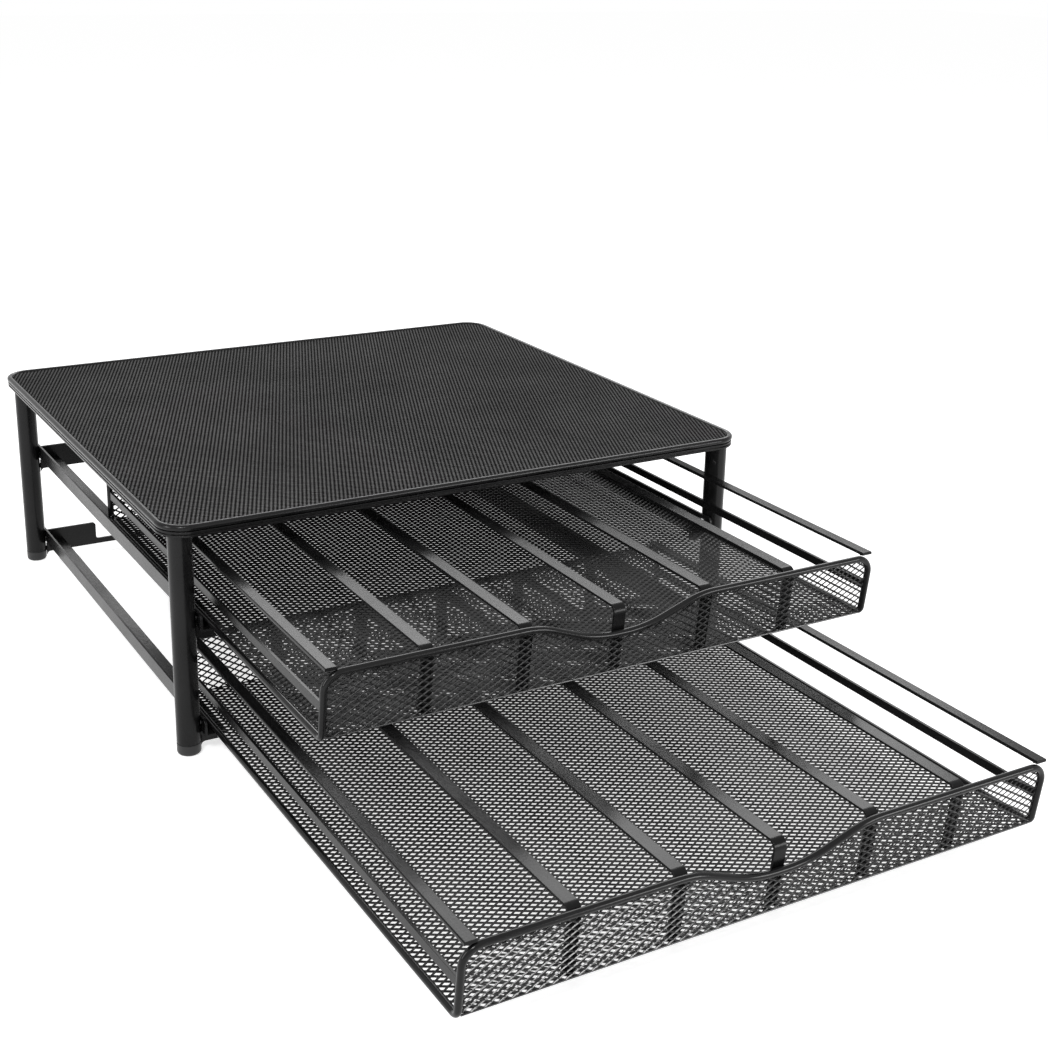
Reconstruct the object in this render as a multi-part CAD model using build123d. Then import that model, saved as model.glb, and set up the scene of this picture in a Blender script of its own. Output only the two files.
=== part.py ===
from build123d import *
import math
import os

# Two-tier pod drawer: a flat platform on four tube legs, with two wire-and-mesh drawers
# that slide on angle rails below it. Millimetres, +Z up, +X to the right of someone who
# faces the drawers, front towards -Y. The drawers are drawn out as the object is shown.

# ---------------------------------------------------------------- driving dimensions
POD_PITCH = 51.5              # one column of pods; the columns set the width of it all
POD_COLUMNS = 6
DRAWER_L = 316.0              # front bottom wire to rear wire, centre to centre
DRAWER_H = 32.8               # bottom wire to rim wire, centre to centre
PLATFORM_Z = 130.0            # counter to the top of the rolled edge
CORNER_R = 16.0               # plan radius of the platform's corners

EDGE_WIRE_D = 3.6             # rolled edge round the platform
PANEL_T = 1.0                 # embossed sheet
PANEL_DROP = 0.9              # sheet's face below the top of the rolled edge
SKIRT_T = 1.2                 # sheet turned down onto the band
BAND_W = 18.0                 # flat band under the edge, seen in plan
BAND_LIP_T = 1.0              # each of the band's two lips
BAND_NECK_T = 0.8             # groove between the lips
BAND_INSET = 0.4              # lips behind the rolled edge
GROOVE_DEPTH = 0.9

LEG_D = 12.7                  # half-inch tube
LEG_WALL = 1.2
LEG_INSET = 11.2              # leg's centre from the platform's outside edges
SPIGOT_L = 18.0               # plug on the band that the tube is pushed over
CAP_H = 7.0                   # plastic foot below the tube
CAP_CHAMFER = 2.0
CAP_STEM_L = 7.0

RAIL_Z = 10.8                 # underside of the lower rails
TIER_PITCH = 59.5             # lower rails to upper rails
RAIL_T = 1.2
RAIL_BEND_R = 1.1             # outside of the rail's bend
RAIL_WEB_H = 9.4
RAIL_LEDGE_W = 12.0
RAIL_FRONT = 2.8              # rail's front end behind the platform's front edge
RAIL_TAIL = 0.6               # web past the rear screw's head
RAIL_NOSE_R = 3.0

SCREW_D = 2.9                 # screws through the rails' webs into the legs
SCREW_HEAD_D = 4.6
SCREW_HEAD_H = 1.4
SCREW_TIP = 1.5               # screw past the inside of the tube's wall
SCREW_Z = 5.4                 # screw's axis above the rail's underside

BRACKET_T = 1.5               # plates between legs and rails, and the stop bars
BRACKET_H = 6.0               # below the rail
BRACKET_W = 9.6
FLARE_R = 2.4                 # concave foot of a plate against its leg
STOP_TAB_W = 34.0
STOP_TAB_H = 15.4
STOP_STRIP_H = 3.6            # tie between the two tabs
STOP_TAB_R = 2.0
STOP_AHEAD = 1.3              # bar's rear face ahead of the rear legs' centres

WIRE_D = 3.5                  # drawer frame wire
FRONT_LEAN = 4.0              # rim ahead of the bottom wire
HOOP_CORNER_R = 9.0
HOOP_FOOT_R = 4.0
SCOOP_DEPTH = 12.5            # finger scoop in the front rim
SCOOP_TOP_HALF = 46.0
SCOOP_FLOOR_HALF = 14.0
SCOOP_SHOULDER_R = 45.0
SCOOP_FLOOR_R = 60.0

MESH_T = 1.0                  # expanded sheet, its diamonds drawn coarser than life
MESH_BORDER = 3.0             # unbroken margin round each sheet
FLOOR_CELL_L = 54.0           # diamond, long way, across the drawer
FLOOR_CELL_S = 33.0
FLOOR_STRAND = 2.8
WALL_CELL_L = 24.0
WALL_CELL_S = 15.0
WALL_STRAND = 2.0

TOP_BAR_W = 6.0
TOP_BAR_T = 1.6
TOP_BAR_EDGE_R = 0.6
TOP_BAR_IN = 3.0              # bar's centre inside the side wire
MID_BAR_H = 4.5
MID_BAR_T = 1.5
MID_BAR_Z = 16.0              # bar's centre above the bottom wire
DIVIDER_W = 6.5
DIVIDER_T = 1.2
DIVIDER_BEND_R = 3.5
DIVIDER_BACK = 2.6            # divider's legs inside the front and rear walls

UPPER_PULL = 141.0            # how far each drawer stands out of its closed place
LOWER_PULL = 270.0

# ---------------------------------------------------------------- clearances
SEAT = 0.05                   # between pieces that are welded, pressed or laid together
RUN = 0.3                     # between pieces that slide or stop against each other
SIDE_PLAY = 2.95              # drawer's side wires to the rails' webs
FRONT_SETBACK = 2.95          # shut drawer's front bottom wire behind the platform's front edge

# ---------------------------------------------------------------- what follows from them
wire_r = WIRE_D / 2
drawer_half = POD_PITCH * POD_COLUMNS / 2     # side wire's centre from the middle
wire_z = RAIL_T + RUN + wire_r                # bottom wire's centre above the rail's underside
lean = math.atan2(FRONT_LEAN, DRAWER_H)
hoop_stub = HOOP_FOOT_R + wire_r              # wire behind the front and rear bends
mesh_half = drawer_half - wire_r - SEAT
bar_z = DRAWER_H + wire_r + SEAT              # underside of the top side bars

web_inner_x = drawer_half + wire_r + SIDE_PLAY
web_x = web_inner_x + RAIL_T                  # outer face of the rail's web
leg_x = web_x + SEAT + LEG_D / 2
stop_front_y = FRONT_SETBACK + DRAWER_L + wire_r + RUN
stop_rear_y = stop_front_y + BRACKET_T
leg_front_y = LEG_INSET
leg_rear_y = stop_rear_y + STOP_AHEAD
rail_rear = stop_front_y - SEAT               # ledge ends here, the web runs on to the leg
screw_y = {"front": leg_front_y, "rear": stop_rear_y + RUN + SCREW_HEAD_D / 2}
web_rear = screw_y["rear"] + SCREW_HEAD_D / 2 + RAIL_TAIL

platform_w = 2 * (leg_x + LEG_INSET)          # outside the rolled edge
platform_d = leg_rear_y + LEG_INSET
edge_z = PLATFORM_Z - EDGE_WIRE_D / 2
band_top = PLATFORM_Z - EDGE_WIRE_D - SEAT
band_t = 2 * BAND_LIP_T + BAND_NECK_T
band_z = band_top - band_t
panel_top = PLATFORM_Z - PANEL_DROP

front_most = FRONT_SETBACK - LOWER_PULL - FRONT_LEAN - wire_r
stand_y = -(front_most + platform_d) / 2      # puts the origin under the middle of it all

# direction up the leaning front wall, and the plane of that wall in the drawer's own frame
front_plane = Plane(origin=(0, 0, 0), x_dir=(1, 0, 0), z_dir=(0, -math.cos(lean), -math.sin(lean)))
front_rise = math.hypot(FRONT_LEAN, DRAWER_H)
rear_plane = Plane(origin=(0, DRAWER_L, 0), x_dir=(1, 0, 0), z_dir=(0, -1, 0))

SIDES = {"left": -1, "right": 1}
TIERS = {"lower": (RAIL_Z, LOWER_PULL), "upper": (RAIL_Z + TIER_PITCH, UPPER_PULL)}
ENDS = {"front": leg_front_y, "rear": leg_rear_y}
BASE = (Align.CENTER, Align.CENTER, Align.MIN)


# ---------------------------------------------------------------- shared shapes
def rounded_plan(inset, z, height):
    """A slab with the platform's plan, drawn in by inset all round."""
    plan = RectangleRounded(platform_w - 2 * inset, platform_d - 2 * inset, CORNER_R - inset)
    return extrude(Pos(0, platform_d / 2, z) * plan, amount=height)


def bent_wire(points, radii, wire_d=WIRE_D):
    """Round wire along straight runs joined by tangent bends."""
    path = FilletPolyline(*points, radius=radii)
    section = Plane(origin=path @ 0, z_dir=path % 0) * Circle(wire_d / 2)
    return sweep(section, path=path)


def diamond_sheet(outline, cell_l, cell_s, strand):
    """Sheet with rows of staggered diamond holes, halved where they meet its unbroken border."""
    inside = offset(outline, amount=-MESH_BORDER, kind=Kind.INTERSECTION).face()
    box = inside.bounding_box()
    columns, rows = round(2 * box.size.X / cell_l), round(2 * box.size.Y / cell_s)
    pitch_x, pitch_y = box.size.X / columns, box.size.Y / rows
    slope = math.hypot(pitch_x, pitch_y) * strand / 2
    half_l, half_s = pitch_x - slope / pitch_y, pitch_y - slope / pitch_x
    holes = []
    for column in range(columns + 1):
        for row in range(column % 2, rows + 1, 2):
            x, y = box.min.X + column * pitch_x, box.min.Y + row * pitch_y
            points = [(x - half_l, y)] * (column > 0) + [(x, y - half_s)] * (row > 0)
            points += [(x + half_l, y)] * (column < columns) + [(x, y + half_s)] * (row < rows)
            corners = [Vector(*point, 0) for point in points]
            if len(corners) > 2 and all(inside.is_inside(corner) for corner in corners):
                holes.append(Wire.make_polygon(corners))
    return extrude(Face(outline.face().outer_wire(), holes), amount=MESH_T / 2, both=True)


# ---------------------------------------------------------------- stand
def make_top_rim():
    half_w, half_d = platform_w / 2 - EDGE_WIRE_D / 2, platform_d / 2 - EDGE_WIRE_D / 2
    plan = RectangleRounded(2 * half_w, 2 * half_d, CORNER_R - EDGE_WIRE_D / 2)
    path = (Pos(0, platform_d / 2, edge_z) * plan).face().outer_wire()
    section = Plane(origin=path @ 0, z_dir=path % 0) * Circle(EDGE_WIRE_D / 2)
    return sweep(section, path=path)


def make_top_panel():
    inset = EDGE_WIRE_D + SEAT
    tray = rounded_plan(inset, band_top + SEAT, panel_top - band_top - SEAT)
    hollow = rounded_plan(inset + SKIRT_T, band_top + SEAT, panel_top - PANEL_T - band_top - SEAT)
    return tray - hollow


def make_top_band():
    lip = rounded_plan(BAND_INSET, band_z, BAND_LIP_T)
    neck = rounded_plan(BAND_INSET + GROOVE_DEPTH, band_z + BAND_LIP_T, BAND_NECK_T)
    upper = rounded_plan(BAND_INSET, band_z + BAND_LIP_T + BAND_NECK_T, BAND_LIP_T)
    window_w, window_d = platform_w - 2 * BAND_W, platform_d - 2 * BAND_W
    window = extrude(Pos(0, platform_d / 2, band_z) * Rectangle(window_w, window_d), amount=band_t)
    band = lip + neck + upper - window
    spigot_r = LEG_D / 2 - LEG_WALL - SEAT
    spigot = Cylinder(spigot_r, SPIGOT_L, align=(Align.CENTER, Align.CENTER, Align.MAX))
    for x in (-leg_x, leg_x):
        for y in (leg_front_y, leg_rear_y):
            band += Pos(x, y, band_z) * spigot
    return band


def make_leg(side, end):
    height = band_z - SEAT - CAP_H
    leg = Cylinder(LEG_D / 2, height, align=BASE) - Cylinder(LEG_D / 2 - LEG_WALL, height, align=BASE)
    leg = Pos(side * leg_x, ENDS[end], CAP_H) * leg
    for z, _ in TIERS.values():
        leg -= screw_hole(side, end, z)
    return leg


def make_foot(side, end):
    pad = Cylinder(LEG_D / 2, CAP_H - SEAT, align=BASE)
    pad = chamfer(pad.edges().group_by(Axis.Z)[0], CAP_CHAMFER)
    stem = Pos(0, 0, CAP_H - SEAT) * Cylinder(LEG_D / 2 - LEG_WALL - SEAT, CAP_STEM_L, align=BASE)
    return Pos(side * leg_x, ENDS[end], 0) * (pad + stem)


def screw_axis(side, end, z):
    """Place of a rail screw: its head seats on the web's inner face, its tip points outwards."""
    return Plane(origin=(side * web_inner_x, screw_y[end], z + SCREW_Z), z_dir=(side, 0, 0))


def screw_hole(side, end, z):
    reach = RAIL_T + 2 * SEAT + LEG_D / 2
    return screw_axis(side, end, z) * Cylinder(SCREW_D / 2 + SEAT, reach, align=BASE)


def make_screws(side, end):
    """The two screws that hold the rails to one leg."""
    shank_l = RAIL_T + SEAT + LEG_WALL + SCREW_TIP
    head = Cylinder(SCREW_HEAD_D / 2, SCREW_HEAD_H, align=(Align.CENTER, Align.CENTER, Align.MAX))
    screw = Pos(0, 0, -SEAT) * (head + Cylinder(SCREW_D / 2, shank_l, align=BASE))
    return Compound([screw_axis(side, end, z) * screw.solid() for z, _ in TIERS.values()])


def make_rail(side, z):
    """Angle rail: an upright web outside, and the ledge that the drawer's side wire rides on."""
    profile = Polyline(
        (web_x, 0), (web_x, RAIL_WEB_H), (web_x - RAIL_T, RAIL_WEB_H), (web_x - RAIL_T, RAIL_T),
        (web_x - RAIL_LEDGE_W, RAIL_T), (web_x - RAIL_LEDGE_W, 0), (web_x, 0))
    section = Plane(origin=(0, web_rear, z), x_dir=(1, 0, 0), z_dir=(0, -1, 0)) * make_face(profile)
    rail = extrude(section, amount=web_rear - RAIL_FRONT)
    outer = rail.edges().filter_by(Axis.Y).sort_by_distance((web_x, (web_rear + RAIL_FRONT) / 2, z))[0]
    rail = fillet(outer, RAIL_BEND_R)
    nose = rail.edges().filter_by(Axis.X).sort_by_distance((web_x, RAIL_FRONT, z + RAIL_WEB_H))[0]
    rail = fillet(nose, RAIL_NOSE_R)
    rail -= Pos(web_inner_x, rail_rear, z) * Box(
        RAIL_LEDGE_W, web_rear - rail_rear, RAIL_WEB_H, align=(Align.MAX, Align.MIN, Align.MIN))
    for end in ENDS:
        rail -= screw_hole(1, end, z)
    return rail if side > 0 else mirror(rail, about=Plane.YZ)


def make_front_bracket(side, z):
    """Plate welded to a front leg, under the front end of its rail."""
    low = z - BRACKET_H
    inner = web_x - BRACKET_W
    plate = make_face([
        Line((inner, low), (web_x - FLARE_R, low)),
        ThreePointArc((web_x - FLARE_R, low),
                      (web_x - FLARE_R * (1 - math.sqrt(0.5)), low - FLARE_R * (1 - math.sqrt(0.5))),
                      (web_x, low - FLARE_R)),
        Line((web_x, low - FLARE_R), (web_x, z - SEAT)),
        Line((web_x, z - SEAT), (inner, z - SEAT)),
        Line((inner, z - SEAT), (inner, low)),
    ])
    plane = Plane(origin=(0, leg_front_y, 0), x_dir=(1, 0, 0), z_dir=(0, -1, 0))
    bracket = extrude(plane * plate, amount=BRACKET_T / 2, both=True)
    return bracket if side > 0 else mirror(bracket, about=Plane.YZ)


def make_stop_bar(z):
    """Strip between the rear legs, raised at both ends into the tabs that the drawer stops on."""
    low, high, shoulder = z - BRACKET_H, z - BRACKET_H + STOP_TAB_H, z - SEAT
    strip_top = low + STOP_STRIP_H
    tab_x = web_x - STOP_TAB_W
    end_x = web_inner_x - SEAT
    outline = make_face(Polyline(
        (-web_x, low), (web_x, low), (web_x, shoulder), (end_x, shoulder), (end_x, high),
        (tab_x, high), (tab_x, strip_top), (-tab_x, strip_top), (-tab_x, high),
        (-end_x, high), (-end_x, shoulder), (-web_x, shoulder), (-web_x, low)))
    corners = outline.vertices().filter_by(lambda v: abs(abs(v.X) - tab_x) < SEAT)
    outline = fillet(corners, STOP_TAB_R)
    for side in (-1, 1):
        flare = make_face([
            Line((web_x - FLARE_R, low), (web_x, low)),
            Line((web_x, low), (web_x, low - FLARE_R)),
            ThreePointArc((web_x, low - FLARE_R),
                          (web_x - FLARE_R * (1 - math.sqrt(0.5)), low - FLARE_R * (1 - math.sqrt(0.5))),
                          (web_x - FLARE_R, low)),
        ])
        outline += flare if side > 0 else mirror(flare, about=Plane.YZ)
    plane = Plane(origin=(0, stop_rear_y, 0), x_dir=(1, 0, 0), z_dir=(0, -1, 0))
    return extrude(plane * outline, amount=BRACKET_T)


# ---------------------------------------------------------------- drawer, in its own frame:
# x = 0 in the middle, y = 0 at the front bottom wire, z = 0 at the bottom wires' centres
def rim_line():
    """Half of the front rim from the corner to the middle, in the front wall's plane."""
    return [(-drawer_half, front_rise), (-SCOOP_TOP_HALF, front_rise),
            (-SCOOP_FLOOR_HALF, front_rise - SCOOP_DEPTH)]


def make_front_hoop():
    half = rim_line()
    flat = [(-drawer_half, 0)] + half + [(-x, y) for x, y in reversed(half)] + [(drawer_half, 0)]
    wall = [front_plane.from_local_coords((x, y, 0)) for x, y in flat]
    start, end = Vector(-drawer_half, hoop_stub, 0), Vector(drawer_half, hoop_stub, 0)
    radii = [HOOP_FOOT_R, HOOP_CORNER_R, SCOOP_SHOULDER_R, SCOOP_FLOOR_R,
             SCOOP_FLOOR_R, SCOOP_SHOULDER_R, HOOP_CORNER_R, HOOP_FOOT_R]
    return bent_wire([start] + wall + [end], radii)


def make_rear_hoop():
    y, x, z = DRAWER_L, drawer_half, DRAWER_H
    points = [(-x, y - hoop_stub, 0), (-x, y, 0), (-x, y, z), (x, y, z), (x, y, 0), (x, y - hoop_stub, 0)]
    return bent_wire(points, [HOOP_FOOT_R, HOOP_CORNER_R, HOOP_CORNER_R, HOOP_FOOT_R])


def make_side_wire(side):
    length = DRAWER_L - 2 * hoop_stub
    axis = Plane(origin=(side * drawer_half, hoop_stub, 0), z_dir=(0, 1, 0))
    return extrude(axis * Circle(wire_r), amount=length)


def make_mesh_front():
    """Sheet inside the front hoop; its lower edge is the fold that it shares with the floor sheet."""
    half = [(-drawer_half, -WIRE_D)] + rim_line()
    corners = half + [(-x, y) for x, y in reversed(half)]
    radii = [HOOP_CORNER_R, SCOOP_SHOULDER_R, SCOOP_FLOOR_R, SCOOP_FLOOR_R, SCOOP_SHOULDER_R, HOOP_CORNER_R]
    rim = FilletPolyline(*corners, radius=radii)
    opening = offset(make_face([rim, Line(corners[-1], corners[0])]), amount=-wire_r - SEAT,
                     kind=Kind.INTERSECTION)
    above_fold = Pos(0, -MESH_T / 2) * Rectangle(platform_w, platform_w, align=(Align.CENTER, Align.MIN))
    return front_plane * diamond_sheet(opening & above_fold, WALL_CELL_L, WALL_CELL_S, WALL_STRAND)


def make_mesh_rear():
    low, high = -MESH_T / 2, DRAWER_H - wire_r - SEAT
    outline = Pos(0, low) * Rectangle(2 * mesh_half, high - low, align=(Align.CENTER, Align.MIN))
    outline = fillet(outline.vertices().group_by(Axis.Y)[-1], HOOP_CORNER_R - wire_r - SEAT)
    return rear_plane * diamond_sheet(outline, WALL_CELL_L, WALL_CELL_S, WALL_STRAND)


def make_mesh_floor():
    front = MESH_T / 2 / math.cos(lean) + MESH_T / 2 * math.tan(lean) + SEAT
    length = DRAWER_L - MESH_T / 2 - SEAT - front
    outline = Pos(0, front) * Rectangle(2 * mesh_half, length, align=(Align.CENTER, Align.MIN))
    return diamond_sheet(outline, FLOOR_CELL_L, FLOOR_CELL_S, FLOOR_STRAND)


def make_top_bar(side):
    """Flat bar that lies across the tops of the front and rear hoops."""
    front, rear = -FRONT_LEAN - wire_r / 2, DRAWER_L + wire_r / 2
    bar = Box(TOP_BAR_W, rear - front, TOP_BAR_T, align=(Align.CENTER, Align.MIN, Align.MIN))
    bar = fillet(bar.edges().filter_by(Axis.Y).group_by(Axis.Z)[-1], TOP_BAR_EDGE_R)
    return Pos(side * (drawer_half - TOP_BAR_IN), front, bar_z) * bar


def make_mid_bar(side):
    """Upright strip between the front and rear wires of one side."""
    low, high = MID_BAR_Z - MID_BAR_H / 2, MID_BAR_Z + MID_BAR_H / 2
    reach = (wire_r + SEAT) / math.cos(lean)
    front_low, front_high = reach - low * math.tan(lean), reach - high * math.tan(lean)
    rear = DRAWER_L - wire_r - SEAT
    profile = Polyline((front_low, low), (rear, low), (rear, high), (front_high, high), (front_low, low))
    plane = Plane(origin=(side * drawer_half, 0, 0), x_dir=(0, 1, 0), z_dir=(1, 0, 0))
    return extrude(plane * make_face(profile), amount=MID_BAR_T / 2, both=True)


def make_divider(column):
    """Flat strip that runs front to back at the rim and turns down into a leg at each end."""
    foot = MESH_T / 2 + SEAT + DIVIDER_T / 2 * math.sin(lean)
    top = DRAWER_H + wire_r - DIVIDER_T / 2
    front_foot, front_top = DIVIDER_BACK - foot * math.tan(lean), DIVIDER_BACK - top * math.tan(lean)
    rear = DRAWER_L - DIVIDER_BACK
    line = FilletPolyline((front_foot, foot), (front_top, top), (rear, top), (rear, foot),
                          radius=DIVIDER_BEND_R)
    plane = Plane(origin=(column * POD_PITCH, 0, 0), x_dir=(0, 1, 0), z_dir=(1, 0, 0))
    return extrude(plane * trace(line, DIVIDER_T), amount=DIVIDER_W / 2, both=True)


def make_drawer():
    pieces = {
        "front_hoop": make_front_hoop(),
        "rear_hoop": make_rear_hoop(),
        "mesh_front": make_mesh_front(),
        "mesh_floor": make_mesh_floor(),
        "mesh_rear": make_mesh_rear(),
    }
    for name, side in SIDES.items():
        pieces[f"side_wire_{name}"] = make_side_wire(side)
        pieces[f"top_bar_{name}"] = make_top_bar(side)
        pieces[f"mid_bar_{name}"] = make_mid_bar(side)
    for number in range(1, POD_COLUMNS):
        pieces[f"divider_{number}"] = make_divider(number - POD_COLUMNS / 2)
    return pieces


# ---------------------------------------------------------------- assembly
def make_stand():
    pieces = {"top_panel": make_top_panel(), "top_rim": make_top_rim(), "top_band": make_top_band()}
    for end in ENDS:
        for name, side in SIDES.items():
            pieces[f"leg_{end}_{name}"] = make_leg(side, end)
            pieces[f"foot_{end}_{name}"] = make_foot(side, end)
            pieces[f"screws_{end}_{name}"] = make_screws(side, end)
    for tier, (z, _) in TIERS.items():
        pieces[f"stop_bar_{tier}"] = make_stop_bar(z)
        for name, side in SIDES.items():
            pieces[f"rail_{tier}_{name}"] = make_rail(side, z)
            pieces[f"bracket_{tier}_{name}"] = make_front_bracket(side, z)
    return pieces


def main():
    os.makedirs("parts", exist_ok=True)
    nodes = {name: Pos(0, stand_y, 0) * shape for name, shape in make_stand().items()}
    drawer = make_drawer()
    for tier, (z, pull) in TIERS.items():
        place = Pos(0, stand_y + FRONT_SETBACK - pull, z + wire_z)
        for name, shape in drawer.items():
            nodes[f"{tier}_{name}"] = place * shape
    for name, shape in nodes.items():
        export_step(shape, f"parts/{name}.step")
    print(len(nodes), "nodes; platform", round(platform_w, 2), "by", round(platform_d, 2))


main()
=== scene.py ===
"""A two-tier coffee pod drawer in black coated steel, dressed for a plain studio picture."""

import logging
import math
from collections.abc import Callable, Sequence
from dataclasses import dataclass, field
from enum import Enum

import bmesh
import bpy
from mathutils import Matrix, Vector, noise


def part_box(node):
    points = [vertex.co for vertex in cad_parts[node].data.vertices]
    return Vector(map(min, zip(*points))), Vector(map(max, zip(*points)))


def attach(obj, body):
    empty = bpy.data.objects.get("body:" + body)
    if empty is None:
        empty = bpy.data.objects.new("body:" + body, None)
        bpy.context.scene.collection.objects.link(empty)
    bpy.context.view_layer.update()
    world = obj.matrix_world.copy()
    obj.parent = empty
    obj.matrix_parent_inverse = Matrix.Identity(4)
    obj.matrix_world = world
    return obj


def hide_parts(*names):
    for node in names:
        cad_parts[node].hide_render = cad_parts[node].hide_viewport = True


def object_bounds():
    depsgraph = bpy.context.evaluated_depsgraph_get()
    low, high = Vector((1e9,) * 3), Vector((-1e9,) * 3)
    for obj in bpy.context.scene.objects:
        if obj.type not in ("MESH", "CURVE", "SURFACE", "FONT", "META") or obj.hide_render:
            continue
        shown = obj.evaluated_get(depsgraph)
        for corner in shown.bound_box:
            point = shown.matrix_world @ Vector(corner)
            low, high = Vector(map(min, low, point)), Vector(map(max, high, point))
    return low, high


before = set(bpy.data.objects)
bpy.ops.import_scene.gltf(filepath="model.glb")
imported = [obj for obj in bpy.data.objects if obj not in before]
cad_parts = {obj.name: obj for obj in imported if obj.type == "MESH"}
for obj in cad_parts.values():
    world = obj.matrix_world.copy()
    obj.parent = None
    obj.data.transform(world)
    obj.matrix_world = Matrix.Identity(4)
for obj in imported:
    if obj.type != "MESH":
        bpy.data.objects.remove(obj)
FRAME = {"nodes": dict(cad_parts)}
CAD_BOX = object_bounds()
MM = 0.001
WHITE = (1.0, 1.0, 1.0)
PICTURE_SIDE = 1048

log = logging.getLogger("pod_drawer")

Colour = tuple[float, float, float]
Link = "Value | float | Colour | Vector"


# ---------------------------------------------------------------- named options
class Slot(Enum):
    """The record's material slots."""

    FRAME = "frame_coat"
    PANEL = "panel_coat"
    WIRE = "wire_coat"
    MESH = "mesh_coat"
    STRIP = "strip_coat"
    FOOT = "foot_plastic"
    SCREW = "screw_steel"


class Tier(Enum):
    """The two drawers."""

    UPPER = "upper"
    LOWER = "lower"


class Side(Enum):
    """The two sides of the stand, seen from the front."""

    LEFT = "left"
    RIGHT = "right"

    @property
    def outward(self) -> int:
        """The sign of X on this side."""
        return -1 if self is Side.LEFT else 1


class End(Enum):
    """The front and the rear of the stand."""

    FRONT = "front"
    REAR = "rear"


# ---------------------------------------------------------------- shader expressions
@dataclass(frozen=True)
class Value:
    """An output socket that numbers are worked out on with Python's operators."""

    graph: "Graph"
    socket: bpy.types.NodeSocket

    def __add__(self, other: "Value | float") -> "Value":
        """Adds."""
        return self.graph.math("ADD", self, other)

    def __radd__(self, other: float) -> "Value":
        """Adds to a plain number."""
        return self.graph.math("ADD", other, self)

    def __sub__(self, other: "Value | float") -> "Value":
        """Subtracts."""
        return self.graph.math("SUBTRACT", self, other)

    def __rsub__(self, other: float) -> "Value":
        """Subtracts from a plain number."""
        return self.graph.math("SUBTRACT", other, self)

    def __mul__(self, other: "Value | float") -> "Value":
        """Multiplies."""
        return self.graph.math("MULTIPLY", self, other)

    def __rmul__(self, other: float) -> "Value":
        """Multiplies a plain number."""
        return self.graph.math("MULTIPLY", other, self)

    def __truediv__(self, other: "Value | float") -> "Value":
        """Divides."""
        return self.graph.math("DIVIDE", self, other)

    def sine(self) -> "Value":
        """The sine of an angle in radians."""
        return self.graph.math("SINE", self)

    def limited(self) -> "Value":
        """The value held between 0 and 1."""
        return self.graph.node("ShaderNodeClamp", {}, {"Value": self})

    def above(self, low: float, high: float) -> "Value":
        """0 at low and under, 1 at high and over."""
        return ((self - low) / (high - low)).limited()


class Graph:
    """The nodes of one material, or of the world."""

    def __init__(self, tree: bpy.types.NodeTree) -> None:
        """Empties the tree.

        Args:
            tree: The node tree to fill.
        """
        self.tree = tree
        tree.nodes.clear()

    def node(self, kind: str, settings: dict, sockets: dict, output: str = "") -> Value | None:
        """Adds one node.

        Args:
            kind: The node's type.
            settings: Its own settings.
            sockets: The values or links of its inputs, by name or identifier.
            output: The output that is wanted, or nothing for the first one.

        Returns:
            That output, or None from a node that ends a graph.
        """
        made = self.tree.nodes.new(kind)
        for key, setting in settings.items():
            setattr(made, key, setting)
        for key, given in sockets.items():
            socket = next(s for s in made.inputs if key in (s.identifier, s.name))
            self._feed(socket, given)
        outputs = [s for s in made.outputs if output in ("", s.identifier, s.name)]
        return Value(self, outputs[0]) if outputs else None

    def _feed(self, socket: bpy.types.NodeSocket, given: "Link") -> None:
        """Links a value, or sets a constant.

        Args:
            socket: The input.
            given: The value or the constant, which is cut or filled to the socket's length.
        """
        if isinstance(given, Value):
            self.tree.links.new(given.socket, socket)
        elif isinstance(given, (tuple, Vector)):
            length = len(socket.default_value)
            socket.default_value = (*given, 1.0)[:length]
        else:
            socket.default_value = given

    def math(self, operation: str, *operands: "Value | float") -> Value:
        """A Math node on up to three numbers."""
        names = ("Value", "Value_001", "Value_002")
        return self.node("ShaderNodeMath", {"operation": operation}, dict(zip(names, operands)))

    def blend(self, share: "Value | float", first: "Link", second: "Link") -> Value:
        """The first colour where share is 0, the second where it is 1."""
        return self.node("ShaderNodeMix", {"data_type": "RGBA"},
                         {"Factor_Float": share, "A_Color": first, "B_Color": second}, "Result_Color")

    def place(self) -> Value:
        """The point on the object, in metres."""
        return self.node("ShaderNodeTexCoord", {}, {}, "Object")

    def stretched(self, point: Value, scale: Colour) -> Value:
        """The point times a scale for each axis."""
        return self.node("ShaderNodeVectorMath", {"operation": "MULTIPLY"},
                         {"Vector": point, "Vector_001": scale})

    def cloud(self, point: Value, per_metre: float, detail: float = 2.0) -> Value:
        """Soft noise between 0 and 1, with so many features to the metre."""
        return self.node("ShaderNodeTexNoise", {},
                         {"Vector": point, "Scale": per_metre, "Detail": detail}, "Fac")

    def soft_edges(self, reach: float) -> Value:
        """The surface's direction with its edges rounded by reach."""
        return self.node("ShaderNodeBevel", {"samples": 4}, {"Radius": reach})

    def edge_mask(self, soft: Value, gain: float) -> Value:
        """Near 1 on an edge and 0 on the flats.

        Args:
            soft: The direction from soft_edges.
            gain: How fast the mask grows as the direction turns.

        Returns:
            The mask.
        """
        flat = self.node("ShaderNodeNewGeometry", {}, {}, "Normal")
        same = self.node("ShaderNodeVectorMath", {"operation": "DOT_PRODUCT"},
                         {"Vector": soft, "Vector_001": flat}, "Value")
        return ((1.0 - same) * gain).limited()

    def surface(self, sockets: dict) -> None:
        """Ends the graph in a Principled shader with these sockets."""
        shader = self.node("ShaderNodeBsdfPrincipled", {}, sockets)
        self.node("ShaderNodeOutputMaterial", {}, {"Surface": shader})


def new_material(name: str) -> tuple[bpy.types.Material, Graph]:
    """Makes an empty material.

    Args:
        name: Its name.

    Returns:
        The material and its graph.
    """
    material = bpy.data.materials.new(name)
    material.use_nodes = True
    return material, Graph(material.node_tree)


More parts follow.
